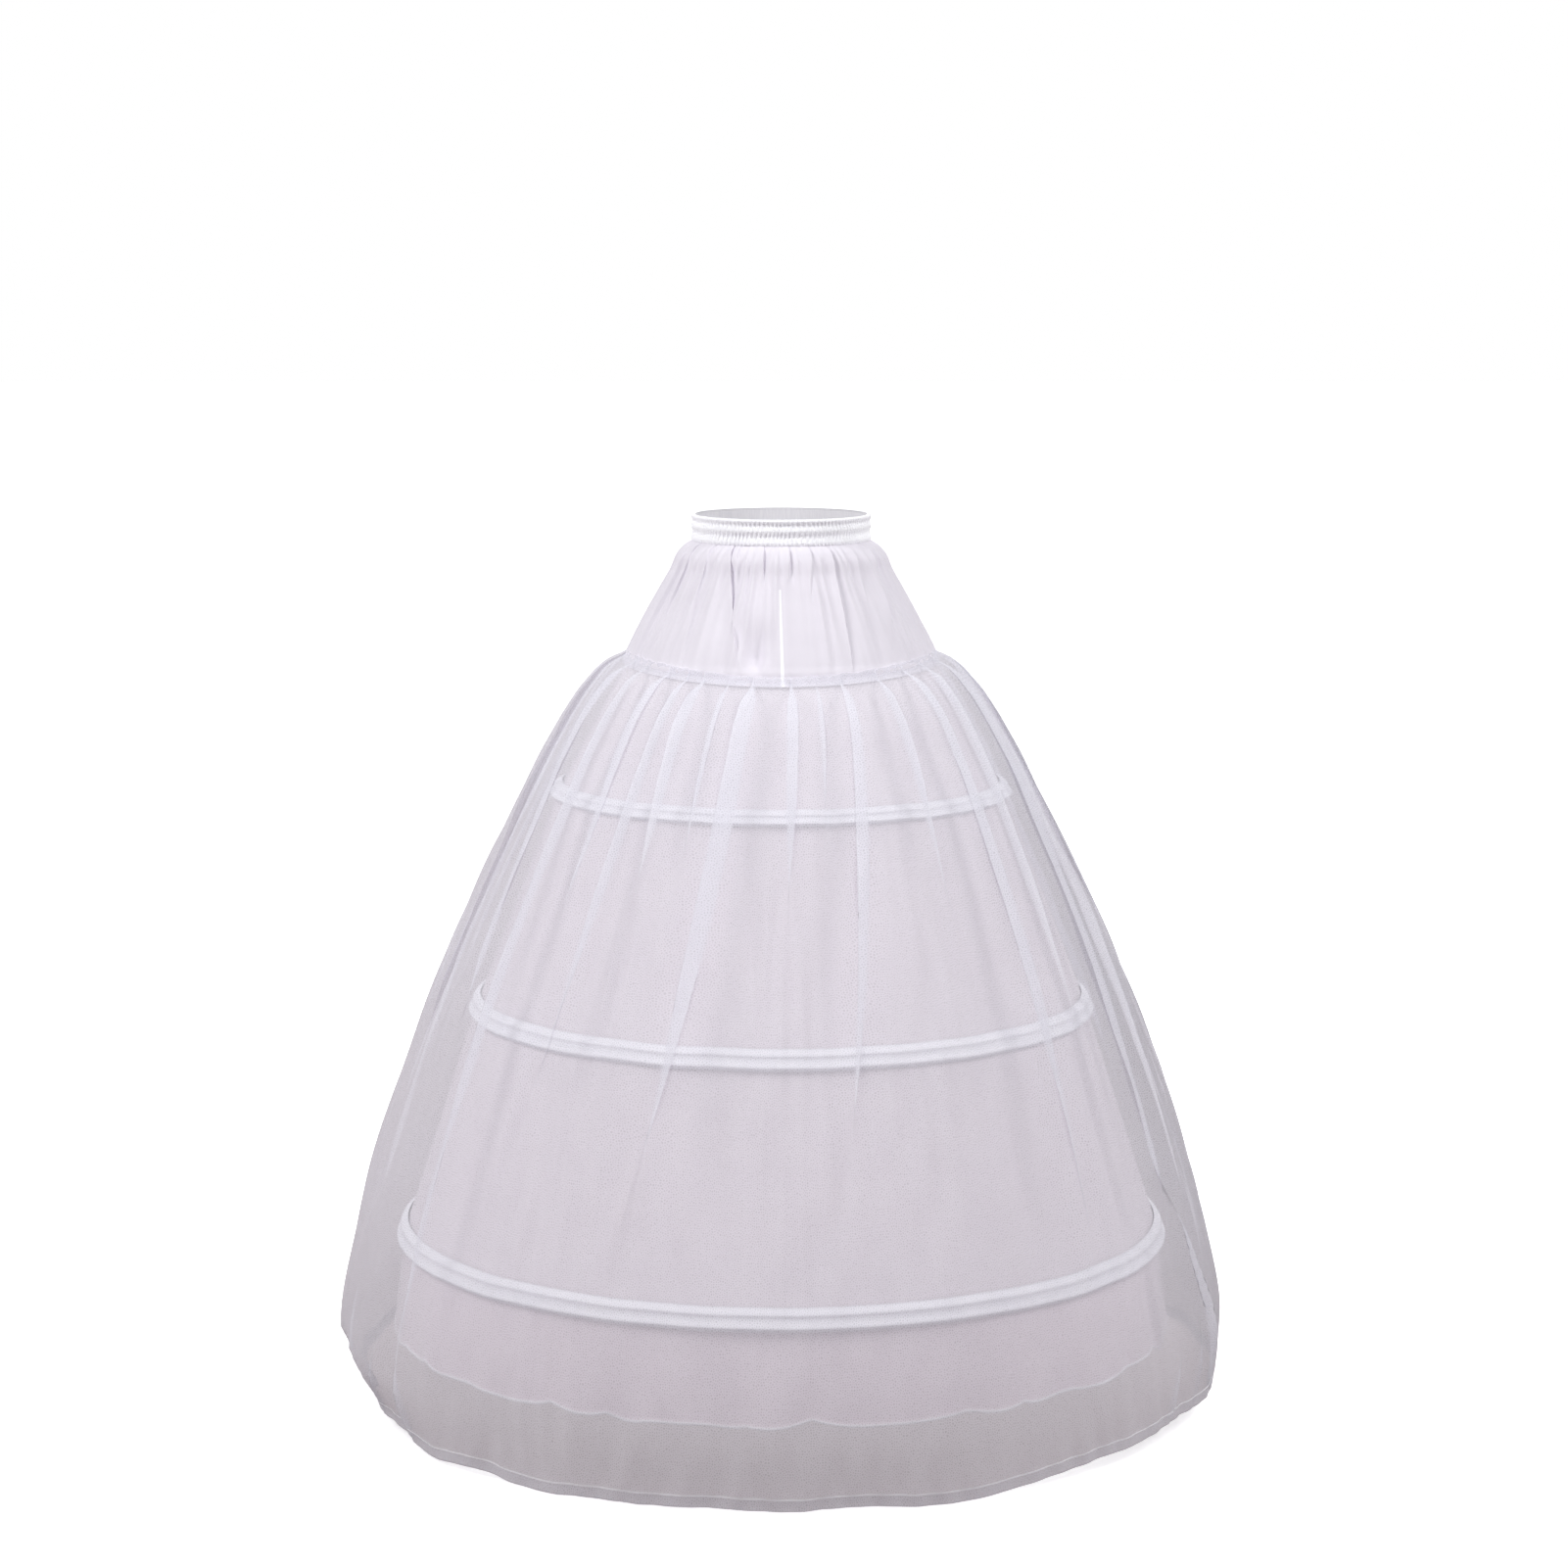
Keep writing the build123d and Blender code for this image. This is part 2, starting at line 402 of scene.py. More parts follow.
@dataclass(frozen=True)
class SeededPleats:
    """Pleats round the back. Angles in degrees, stands in millimetres, each pair a least and a most."""

    seed: int
    count: int
    span: Pair
    drift: float
    half_width: Pair
    lap: Pair
    reach: Pair
    stand: Pair | None = None
    jitter: float = 4.0

    def drawn(self) -> list[Pleat]:
        """Draw the pleats from the seed.

        Returns:
            The pleats, in order round the back.
        """
        draw = np.random.default_rng(self.seed)
        places = np.linspace(*self.span, self.count) + draw.uniform(-self.jitter, self.jitter, self.count)
        pleats = []
        for place in places:
            low = place + draw.uniform(-self.drift, self.drift)
            sizes = [float(draw.uniform(*pair)) for pair in (self.half_width, self.lap, self.reach)]
            turn = Turn.LEFT if draw.uniform() < 0.5 else Turn.RIGHT
            stand = Pleat.stand if self.stand is None else float(draw.uniform(*self.stand)) * MM
            pleats.append(Pleat(float(place), float(low), *sizes, turn, stand))
        return pleats


def swung(azimuth: np.ndarray, swings: Swings) -> np.ndarray:
    """Add up slow swings round the waist.

    Args:
        azimuth: Angles round the waist.
        swings: The swings.

    Returns:
        Their sum at each angle.
    """
    return sum(size * np.sin(turns * azimuth + start) for size, turns, start in swings)


def patchy(azimuth: np.ndarray, mean: float, turns: int, start: float | np.ndarray) -> np.ndarray:
    """Make gathers stronger in some places than in others.

    Args:
        azimuth: Angles round the waist.
        mean: Their mean strength.
        turns: How many strong places there are round the waist.
        start: Where the first of them begins.

    Returns:
        Strengths of at most one.
    """
    return mean + (1 - mean) * np.sin(turns * azimuth + start)


def smooth_run(knots: list[float], values: list[float], at: np.ndarray) -> np.ndarray:
    """Draw a smooth curve through knots.

    Args:
        knots: Rising places of the knots.
        values: The curve's value at each knot.
        at: Places to read the curve.

    Returns:
        The curve's values there.
    """
    x, y = np.asarray(knots), np.asarray(values)
    slope = np.gradient(y, x)
    i = np.clip(np.searchsorted(x, at) - 1, 0, len(x) - 2)
    gap = x[i + 1] - x[i]
    t = np.clip((at - x[i]) / gap, 0.0, 1.0)
    return (
        y[i] * (1 + 2 * t) * (1 - t) ** 2
        + y[i + 1] * t**2 * (3 - 2 * t)
        + slope[i] * gap * t * (1 - t) ** 2
        - slope[i + 1] * gap * t**2 * (1 - t)
    )


def ease(value: np.ndarray, low: float, high: float) -> np.ndarray:
    """Rise smoothly from nought at low to one at high."""
    t = np.clip((value - low) / (high - low), 0.0, 1.0)
    return t * t * (3 - 2 * t)


@dataclass(frozen=True)
class Ring:
    """One level of a solid: its height, and the radii of its outer crests and inner valleys."""

    height: float
    crest: float
    valley: float


def rings_of(node: str) -> list[Ring]:
    """Read the levels of a packed cloth solid, from the top.

    Args:
        node: The solid's name.

    Returns:
        A ring for each height that its corners lie on.
    """
    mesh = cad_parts[node].data
    corners = np.empty(len(mesh.vertices) * 3)
    mesh.vertices.foreach_get("co", corners)
    corners = corners.reshape(-1, 3)
    radius, height = np.hypot(corners[:, 0], corners[:, 1]), np.round(corners[:, 2], 4)
    rings = []
    for level in sorted(set(height), reverse=True):
        there = radius[height == level]
        rings.append(Ring(float(level), float(there.max()), float(there.min())))
    return rings


@dataclass
class Cloth:
    """A sheet that goes round the waist axis, joined at the centre back."""

    name: str
    node: str
    slot: str
    finish: WovenFinish | NetFinish
    flat: Pair
    area: float
    hold: Hold
    rests_on: tuple[str, ...]
    columns: int
    rows: int
    stitch_and_highlight: WovenFinish | None = None

    def hang(self, azimuth: np.ndarray, fall: np.ndarray) -> np.ndarray:
        """Place the points of the flat sheet.

        Args:
            azimuth: Angles round the waist, from the centre back round to the centre back.
            fall: Share of the way down the cloth, nought at its top edge.

        Returns:
            Angle, radius and height of each point, in three columns.
        """
        raise NotImplementedError

    def spaced(self, row: np.ndarray) -> np.ndarray:
        """Space the grid's rows down the cloth: evenly, unless a sheet has places that bend more."""
        return row

    def build(self) -> bpy.types.Object:
        """Lay the flat grid, hang it and close its back seam.

        Returns:
            The finished sheet.
        """
        bpy.ops.object.select_all(action="DESELECT")
        bpy.ops.mesh.primitive_grid_add(x_subdivisions=self.columns, y_subdivisions=self.rows, size=1.0)
        piece = bpy.context.object
        piece.name = piece.data.name = self.name
        mesh = piece.data
        self.map_cloth(mesh)
        flat = np.empty(len(mesh.vertices) * 3)
        mesh.vertices.foreach_get("co", flat)
        flat = flat.reshape(-1, 3)
        turn, radius, height = self.hang(2 * pi * flat[:, 0], self.spaced(0.5 - flat[:, 1])).T
        hung = np.stack([radius * np.sin(turn), -radius * np.cos(turn), height], 1)
        mesh.vertices.foreach_set("co", hung.ravel())
        mesh.update()
        bpy.ops.object.mode_set(mode="EDIT")
        bpy.ops.mesh.select_all(action="SELECT")
        bpy.ops.mesh.remove_doubles(threshold=SEAM_MERGE)
        bpy.ops.object.mode_set(mode="OBJECT")
        bpy.ops.object.shade_smooth()
        return piece

    def stitch_and_highlight_faces(self, centres: np.ndarray) -> np.ndarray:
        """Say which faces take the second finish.

        Args:
            centres: The middle of each face.

        Returns:
            True for each face that takes the brightest white: a painted highlight on a seam or hem, or the
            stitched line of a hem.
        """
        return np.zeros(len(centres), dtype=bool)

    def map_cloth(self, mesh: bpy.types.Mesh) -> None:
        """Keep the grid's map for baking, and add one that is in metres of flat cloth.

        Args:
            mesh: The flat grid.
        """
        mesh.uv_layers.active.name = BAKE_MAP
        spread = np.empty(len(mesh.loops) * 2, dtype=np.float32)
        mesh.uv_layers[BAKE_MAP].uv.foreach_get("vector", spread)
        spread = spread.reshape(-1, 2)
        spread[:, 1] = 1.0 - self.spaced(1.0 - spread[:, 1])
        mesh.uv_layers[BAKE_MAP].uv.foreach_set("vector", spread.ravel())
        metres = spread * np.asarray(self.flat, dtype=np.float32)
        layer = mesh.uv_layers.new(name=CLOTH_MAP)
        layer.uv.foreach_set("vector", metres.ravel())

    def dress(self, piece: bpy.types.Object) -> None:
        """Give the sheet its finish, attach it to the root body, and hide the solid that it stands for.

        Args:
            piece: The finished sheet.
        """
        piece.data.materials.append(self.finish.material())
        # The second finish is the brightest white: a painted highlight on the yoke's seam and on the
        # flounce's hem, and the stitched line of the tulle's hem
        if self.stitch_and_highlight is not None:
            piece.data.materials.append(self.stitch_and_highlight.material())
            centres = np.empty(len(piece.data.polygons) * 3)
            piece.data.polygons.foreach_get("center", centres)
            stitch_and_highlight_faces = self.stitch_and_highlight_faces(centres.reshape(-1, 3))
            piece.data.polygons.foreach_set("material_index", stitch_and_highlight_faces.astype(np.int32))
        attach(piece, "root")
        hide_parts(self.node)


@dataclass
class WaistbandCover(Cloth):
    """The shirred cover: turned over the elastic's top edge, and puffed between the stitch rows."""

    # Heights in millimetres, each with a share of the rise
    ridges: Knots = (
        (15.0, 0.45), (13.2, 1.0), (11.0, 0.72), (7.7, 0.08), (4.4, 0.7), (1.8, 1.0),
        (-0.8, 0.7), (-5.0, 0.05), (-9.2, 0.7), (-12.0, 1.0), (-15.0, 0.55),
    )
    rise: float = 2.3 * MM
    puckers: int = 128
    fine_puckers: int = 287
    fine_share: float = 0.3
    fine_lean: float = 0.6
    ridge_share: float = 0.3
    patches: tuple[float, int] = (0.75, 17)
    patch_slant: float = 40.0
    pucker_depth: float = 1.35 * MM
    wander: Swings = ((0.9, 7, 1.0), (0.7, 13, 0.0))
    slant: float = 300.0
    slant_shares: Pair = (1.0, -0.8)
    stand: float = 0.5 * MM
    least_rise: float = -0.2 * MM
    lip_share: float = 0.1
    lip_from: float = 0.2
    lip_stand: float = 0.4 * MM
    crown: float = 0.5 * MM

    def hang(self, azimuth: np.ndarray, fall: np.ndarray) -> np.ndarray:
        """Place the cover's points.

        Args:
            azimuth: Angles round the waist.
            fall: Share of the way down the cloth.

        Returns:
            Angle, radius and height of each point.
        """
        rings = rings_of(self.node)
        top, base = rings[0], rings[-1]
        run = np.clip((fall - self.lip_share) / (1 - self.lip_share), 0.0, 1.0)
        lip = np.clip(fall / self.lip_share, 0.0, 1.0)
        wander = swung(azimuth, self.wander)
        height = top.height + (base.height - top.height) * run
        levels = [-z * MM for z, _ in self.ridges]
        wave = smooth_run(levels, [size for _, size in self.ridges], -height)
        row = 1.0 - wave
        lean = self.slant * height * np.where(run < 0.5, *self.slant_shares)
        zigzag = np.cos(self.puckers * azimuth + 2 * wander + lean)
        fine = np.cos(self.fine_puckers * azimuth - wander + self.fine_lean * lean)
        uneven = patchy(azimuth, *self.patches, self.patch_slant * run)
        inner = base.valley + self.stand
        pucker = zigzag * (self.ridge_share + (1 - self.ridge_share) * row) + self.fine_share * fine
        outer = inner + self.rise * wave + self.pucker_depth * uneven * pucker
        over = ease(lip, self.lip_from, 1.0)
        tuck = (top.valley + self.lip_stand) * (1 - over) + outer * over
        radius = np.where(fall < self.lip_share, tuck, np.maximum(outer, inner + self.least_rise))
        crown = self.crown * np.sin(pi * lip) * (fall < self.lip_share)
        return np.stack([azimuth, radius, height + crown - self.crown * (1 - lip)], 1)


@dataclass
class HipYoke(Cloth):
    """The gathered yoke: fine gathers at the waistband, long creases, and nearly smooth at the hip seam."""

    # Millimetres below the waistband, each with a radius in millimetres
    knots: Knots = (
        (0.0, 103.4), (5.0, 112.5), (13.0, 120.5), (34.0, 130.5), (57.0, 143.5),
        (80.0, 156.5), (103.0, 168.5), (126.0, 179.5), (143.0, 186.5),
    )
    gathers: int = 74
    gather_depth: float = 1.7 * MM
    folds: int = 20
    fold_depth: float = 3.0 * MM
    fold_wander: float = 0.6
    fold_run: Pair = (0.03, 0.07)
    gather_reach: float = 0.026
    wander: Swings = ((1.6, 3, 0.4), (1.1, 7, 2.0), (0.8, 11, 0.0))
    crumple: Crinkle = Crinkle(5, (9, 40), (2.0, 9.0))
    crumple_depth: float = 0.6 * MM
    crumple_from: float = 0.02
    streaks: Crinkle = Crinkle(7, (34, 96), (0.0, 1.2), 22)
    streak_depth: float = 1.3 * MM
    streaks_open: Pair = (0.004, 0.02)
    streaks_fade: float = 0.4
    streaks_fade_from: float = 0.05
    seam_rise: float = 1.4 * MM
    seam_rise_half: float = 1.3
    seam_rise_from: Pair = (0.03, 0.06)
    seam_half: Pair = (0.5 * MM, 2.1 * MM)
    seam_room: float = 6.0
    seam_top: float = -62.0 * MM
    seam_lean: float = -0.03
    seam_upright: float = -0.1
    seam_lean_half: float = 7.0
    front_dip: float = 9.5 * MM
    front_dip_from: float = 0.3
    hip_stand: float = 4.4 * MM
    hip_hold: float = 0.012
    waist_room: float = 0.4 * MM
    flare: float = 0.5
    hollow: float = 15.0 * MM
    hollow_at: float = -9.5
    hollow_half: Pair = (3.6, 2.4)
    hollow_narrows: Pair = (0.08, 0.14)
    hollow_opens: Pair = (0.07, 0.128)
    hollow_closes: Pair = (0.12, 0.148)
    # Angles at the top and low down, half width, lap, reach, and stand in millimetres
    creases: tuple[Pleat, ...] = tuple(
        Pleat(*sizes, Turn.RIGHT, stand * MM)
        for *sizes, stand in (
            (-31.0, -13.0, 1.4, 1.4, 0.95, 2.4), (29.0, 25.0, 1.4, 1.5, 1.3, 2.8),
            (46.0, 43.0, 1.3, 1.2, 0.55, 2.6), (61.0, 51.0, 1.5, 1.4, 0.75, 3.0),
            (-46.0, -36.0, 1.8, 0.5, 1.2, 1.8), (-62.0, -56.0, 1.6, 0.6, 0.8, 1.8),
            (-26.0, -22.0, 1.2, 0.7, 0.3, 1.6), (-10.5, -8.0, 1.4, 1.0, 0.32, 2.4),
            (5.7, 5.0, 1.2, 1.0, 0.3, 2.4), (17.5, 14.0, 1.3, 1.1, 0.42, 2.6),
            (84.0, 78.0, 1.6, 0.9, 0.9, 2.2),
        )
    )
    left_crease: Pleat = Pleat(-84.0, -79.0, 1.6, 0.9, 0.9, Turn.LEFT, 2.2 * MM)
    back_creases: SeededPleats = SeededPleats(
        41, 13, (104.0, 256.0), 5.0, (1.2, 1.8), (0.8, 1.6), (0.35, 1.2), (2.2, 3.2)
    )

    def stitch_and_highlight_faces(self, centres: np.ndarray) -> np.ndarray:
        """Pick the pressed seam down the centre front, which takes the satin white as a painted highlight.

        Args:
            centres: The middle of each face.

        Returns:
            True for each face of the seam.
        """
        column = np.arange(len(centres)) % self.columns
        beside = np.abs(column + 0.5 - self.columns / 2)
        return (beside < 1.0) & (centres[:, 2] < self.seam_top)

    def hang(self, azimuth: np.ndarray, fall: np.ndarray) -> np.ndarray:
        """Place the yoke's points.

        Args:
            azimuth: Angles round the waist.
            fall: Share of the way down the cloth.

        Returns:
            Angle, radius and height of each point.
        """
        rings = rings_of(self.node)
        length = rings[0].height - rings[-1].height
        dip = self.front_dip * np.cos(azimuth) ** 2 * ease(fall, self.front_dip_from, 1.0)
        drop = length * fall + dip
        places = [place * MM for place, _ in self.knots]
        radius = smooth_run(places, [size * MM for _, size in self.knots], drop)
        wander = swung(azimuth, self.wander)
        near_top = np.exp(-drop / self.gather_reach)
        fine = 0.5 + 0.5 * np.cos(self.gathers * azimuth + wander)
        spread = 0.5 + 0.5 * np.cos(self.folds * (azimuth - pi / 2) + self.fold_wander * wander)
        body = ease(drop, 0.0, self.fold_run[0]) * (1 - ease(drop, self.fold_run[1], length))
        radius -= self.gather_depth * (1 - fine) * near_top + self.fold_depth * (1 - spread) * body
        radius += self.crumple_depth * self.crumple.at(azimuth, drop) * ease(drop, 0.0, self.crumple_from)
        turn = azimuth.copy()
        for crease in (*self.creases, self.left_crease, *self.back_creases.drawn()):
            step, stand = crease.shift(azimuth, fall)
            turn += step
            radius += stand
        # The pressed seam takes the two middle columns, and the columns beside it spread to make room
        column = 2 * pi / self.columns
        beside = np.abs(azimuth) / column
        half = (self.seam_half[0] + (self.seam_half[1] - self.seam_half[0]) * fall) / radius
        share = np.clip((beside - 1) / (self.seam_room - 1), 0.0, 1.0)
        pressed = np.where(beside <= 1, beside * half, half + share * (self.seam_room * column - half))
        turn += np.where(beside < self.seam_room, np.sign(azimuth) * pressed - azimuth, 0.0)
        seam_at = self.seam_lean * (rings[0].height - self.seam_upright - drop)
        turn += seam_at / radius * np.exp(-((azimuth / radians(self.seam_lean_half)) ** 2))
        ridge = np.exp(-((beside / self.seam_rise_half) ** 2))
        radius += self.seam_rise * ridge * ease(drop, *self.seam_rise_from)
        # A soft hollow left of the seam, wide above and narrow below
        narrow = radians(self.hollow_half[0]) * (1 - ease(drop, *self.hollow_narrows))
        narrow += radians(self.hollow_half[1])
        sunk = ease(drop, *self.hollow_opens) * (1 - ease(drop, *self.hollow_closes))
        radius -= self.hollow * sunk * np.exp(-(((azimuth - radians(self.hollow_at)) / narrow) ** 2))
        streaks = self.streak_depth * self.streaks.at(azimuth, drop) * ease(drop, *self.streaks_open)
        radius += streaks * (1 - self.streaks_fade * ease(drop, self.streaks_fade_from, length))
        hold = ease(drop, length - self.hip_hold, length)
        seat = rings[-1].crest + self.hip_stand + self.flare * np.maximum(drop - length, 0.0)
        radius = radius * (1 - hold) + seat * hold
        clear = rings[0].crest + self.waist_room
        return np.stack([turn, np.maximum(radius, clear), rings[0].height - drop], 1)


@dataclass
class LiningTier(Cloth):
    """A straight tier of lining, held out by the hoop at its lower edge."""

    slack: float = 1.6 * MM
    sink: float = 0.6
    fullness: float = 0.7
    uneven_turns: tuple[int, int] = (3, 14)
    uneven_runs: Pair = (0.0, 3.0)
    seed: int = 11

    def hang(self, azimuth: np.ndarray, fall: np.ndarray) -> np.ndarray:
        """Place the tier's points.

        Args:
            azimuth: Angles round the waist.
            fall: Share of the way down the cloth.

        Returns:
            Angle, radius and height of each point.
        """
        top, base = rings_of(self.node)
        height = top.height + (base.height - top.height) * fall
        radius = top.crest + (base.crest - top.crest) * fall
        free = np.sin(pi * np.clip(fall, 0, 1)) ** self.fullness
        uneven = Crinkle(self.seed, self.uneven_turns, self.uneven_runs).at(azimuth, height)
        radius += self.slack * free * (uneven - self.sink)
        return np.stack([azimuth, radius, height], 1)


@dataclass
class HoopCasing(Cloth):
    """The tape over a hoop: a rounded tube in front of the strip, stitched flat at both edges."""

    # Shares of the way down between the stitch lines, each with a share of the tube's depth
    profile: Knots = (
        (0.0, 0.1), (0.08, 0.62), (0.2, 0.94), (0.36, 0.72), (0.5, 0.68),
        (0.64, 0.76), (0.8, 1.0), (0.92, 0.86), (1.0, 0.1),
    )
    flange: float = 2.2 * MM
    sag: float = 0.6 * MM
    sag_turns: tuple[int, int] = (5, 30)
    sag_runs: Pair = (0.0, 1.0)
    wander: Swings = ((1.5, 5, 0.0),)
    own_wander: tuple[float, int] = (1.2, 11)
    patches: tuple[float, int] = (0.45, 4)
    middle_share: float = 0.3
    puckers: int = 150
    pucker_depth: float = 0.5 * MM
    ease_over_hoop: float = 0.8 * MM
    sleeve_half: float = 20.0 * MM
    sleeve_fade: float = 1.7
    sleeve_rise: float = 2.4 * MM
    seed: int = 21

    def hang(self, azimuth: np.ndarray, fall: np.ndarray) -> np.ndarray:
        """Place the tape's points.

        Args:
            azimuth: Angles round the waist.
            fall: Share of the way down the cloth.

        Returns:
            Angle, radius and height of each point.
        """
        top, front, _, base = rings_of(self.node)
        stitched = self.flange / (top.height - base.height)
        height = top.height + (base.height - top.height) * fall
        run = np.clip((fall - stitched) / (1 - 2 * stitched), 0.0, 1.0)
        line = top.crest + (base.crest - top.crest) * fall
        rise = front.crest - (top.crest + base.crest) / 2
        hump = smooth_run([place for place, _ in self.profile], [size for _, size in self.profile], run)
        radius = line + self.ease_over_hoop + rise * hump
        # The tape bulges over the sleeve that joins the hoop's ends at the centre back
        from_back = (pi - np.abs(azimuth)) * radius
        over_sleeve = 1 - ease(from_back, self.sleeve_half, self.sleeve_fade * self.sleeve_half)
        radius += self.sleeve_rise * over_sleeve * np.sqrt(np.sin(pi * run))
        wander = swung(azimuth, (*self.wander, (*self.own_wander, self.seed)))
        edge = 1 - np.sin(pi * run) ** 2
        pucker = np.cos(self.puckers * azimuth + wander) * patchy(azimuth, *self.patches, self.seed)
        radius += self.pucker_depth * pucker * (self.middle_share + (1 - self.middle_share) * edge)
        sag = self.sag * Crinkle(self.seed, self.sag_turns, self.sag_runs).at(azimuth, height)
        return np.stack([azimuth, radius, height + sag], 1)


@dataclass
class HemFlounce(Cloth):
    """The lining's free end below the lowest hoop, with waves that grow to its narrow rolled hem."""

    waves: int = 20
    wave_depth: float = 6.4 * MM
    wave_swing: float = 0.5
    growth: float = 1.5
    small_waves: int = 31
    small_depth: float = 1.4 * MM
    small_swing: float = 1.6
    side_calm: float = 0.8
    swing: Swings = ((1.3, 4, 0.6), (0.9, 7, 2.2))
    crumple: Crinkle = Crinkle(31, (20, 70), (1.0, 8.0))
    crumple_depth: float = 0.7 * MM
    roll: float = 4.0 * MM
    roll_stand: float = 1.2 * MM
    scallops: int = 38
    scallop_depth: float = 8.0 * MM
    scallop_point: float = 0.7
    scallop_swing: float = 0.9
    scallop_start: float = 0.5
    patches: tuple[float, int, float] = (0.55, 11, 1.0)
    ripples: int = 19
    ripple_depth: float = 1.6 * MM
    hem_drop: float = 2.0 * MM

    def stitch_and_highlight_faces(self, centres: np.ndarray) -> np.ndarray:
        """Pick the narrow rolled hem, which takes the satin white as a painted highlight.

        Args:
            centres: The middle of each face.

        Returns:
            True for each face of the hem.
        """
        row = np.arange(len(centres)) // self.columns
        return row < max(1, round(self.rows * self.roll / self.flat[1]))

    def hang(self, azimuth: np.ndarray, fall: np.ndarray) -> np.ndarray:
        """Place the flounce's points.

        Args:
            azimuth: Angles round the waist.
            fall: Share of the way down the cloth.

        Returns:
            Angle, radius and height of each point.
        """
        top, hem = rings_of(self.node)
        height = top.height + (hem.height - top.height) * fall
        radius = top.crest + (hem.crest - top.crest) * fall
        grow = fall**self.growth
        swing = swung(azimuth, self.swing)
        broad = 0.5 + 0.5 * np.cos(self.waves * (azimuth - pi / 2) + self.wave_swing * swing)
        small = np.cos(self.small_waves * azimuth + self.small_swing * swing)
        calm = 1 - self.side_calm * np.sin(azimuth) ** 4
        radius -= grow * calm * (self.wave_depth * (1 - broad) - self.small_depth * small)
        radius += self.crumple_depth * grow * self.crumple.at(azimuth, height)
        run = (1 - fall) * (top.height - hem.height) / self.roll
        radius += self.roll_stand * np.sqrt(np.clip(1 - (2 * np.clip(run, 0, 1) - 1) ** 2, 0, 1))
        arch = np.sin(self.scallops / 2 * azimuth + self.scallop_swing * swing + self.scallop_start)
        scallop = 1 - np.abs(arch) ** self.scallop_point
        ripple = self.ripple_depth * np.sin(self.ripples * azimuth)
        lift = grow * (self.scallop_depth * patchy(azimuth, *self.patches) * scallop + ripple - self.hem_drop)
        return np.stack([azimuth, radius, height + lift], 1)


